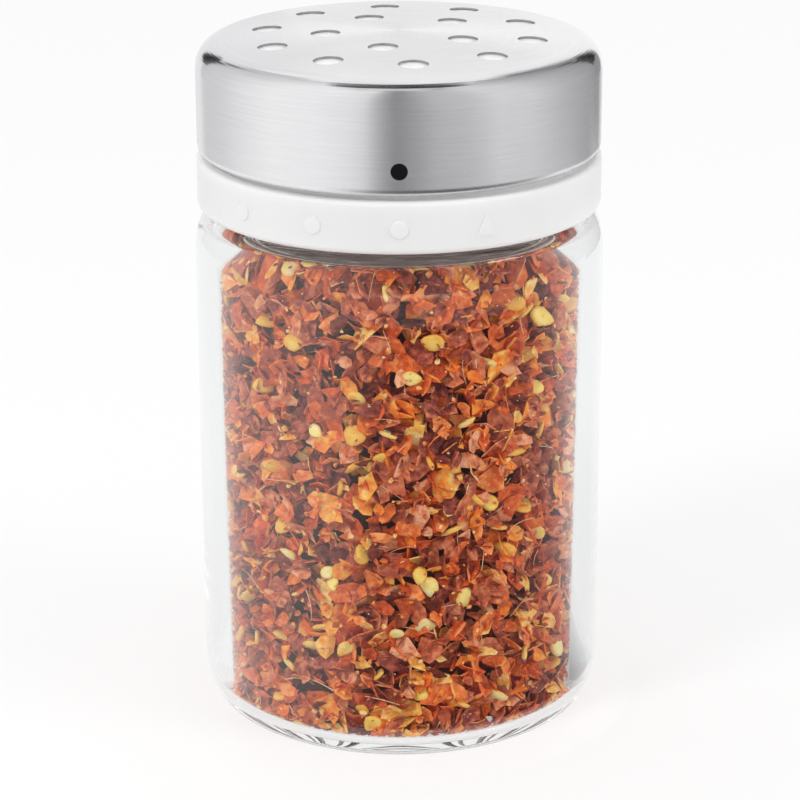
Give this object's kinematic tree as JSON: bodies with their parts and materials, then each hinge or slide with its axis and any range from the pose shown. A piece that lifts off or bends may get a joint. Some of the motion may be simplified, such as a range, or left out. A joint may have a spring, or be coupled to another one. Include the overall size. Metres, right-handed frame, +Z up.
{
  "type": "spice shaker",
  "caption": "Glass spice shaker with a screw-on lid; its perforated steel cap turns over a sifter disc to close the holes or open fine or coarse ones",
  "frame": {"origin": "centre of the foot, on the surface it stands on", "axes": "+Z up along the axis of the jar; the pointer dot faces -Y; +X is to the right of someone looking at the pointer"},
  "size_m": [0.068, 0.068, 0.1158],
  "materials": {
    "clear_glass": "clear, smooth, thick",
    "chilli_flakes": null,
    "silicone": "soft, matt, translucent white",
    "white_plastic": "smooth moulded, soft sheen",
    "grey_white_plastic": "smooth moulded, soft sheen",
    "brushed_steel": "stainless, satin top, skirt brushed around the axis",
    "black_enamel": "smooth black paint dot"
  },
  "bodies": {
    "jar": {"jar": "clear_glass", "chilli_fill": "chilli_flakes"},
    "seal": {"neck_gasket": "silicone"},
    "lid": {"collar": "white_plastic", "sifter_disc": "white_plastic"},
    "cap": {"cap_liner": "grey_white_plastic", "cap_shell": "brushed_steel", "pointer_dot": "black_enamel"}
  },
  "joints": [
    {"name": "lid_rise", "type": "slide", "parent": "jar", "child": "seal", "axis": [0, 0, 1], "range_m": [0, 0.0106]},
    {"name": "lid_unscrew", "type": "hinge", "parent": "seal", "child": "lid", "pos_m": [0, 0, 0.097], "axis": [0, 0, 1], "range_deg": [0, 540]},
    {"name": "cap_turn", "type": "hinge", "parent": "lid", "child": "cap", "pos_m": [0, 0, 0.105], "axis": [0, 0, 1], "range_deg": [-48, 24]}
  ],
  "couplings": [
    {"joint": "lid_rise", "follows": "lid_unscrew", "m_per_rad": 0.0011141}
  ]
}
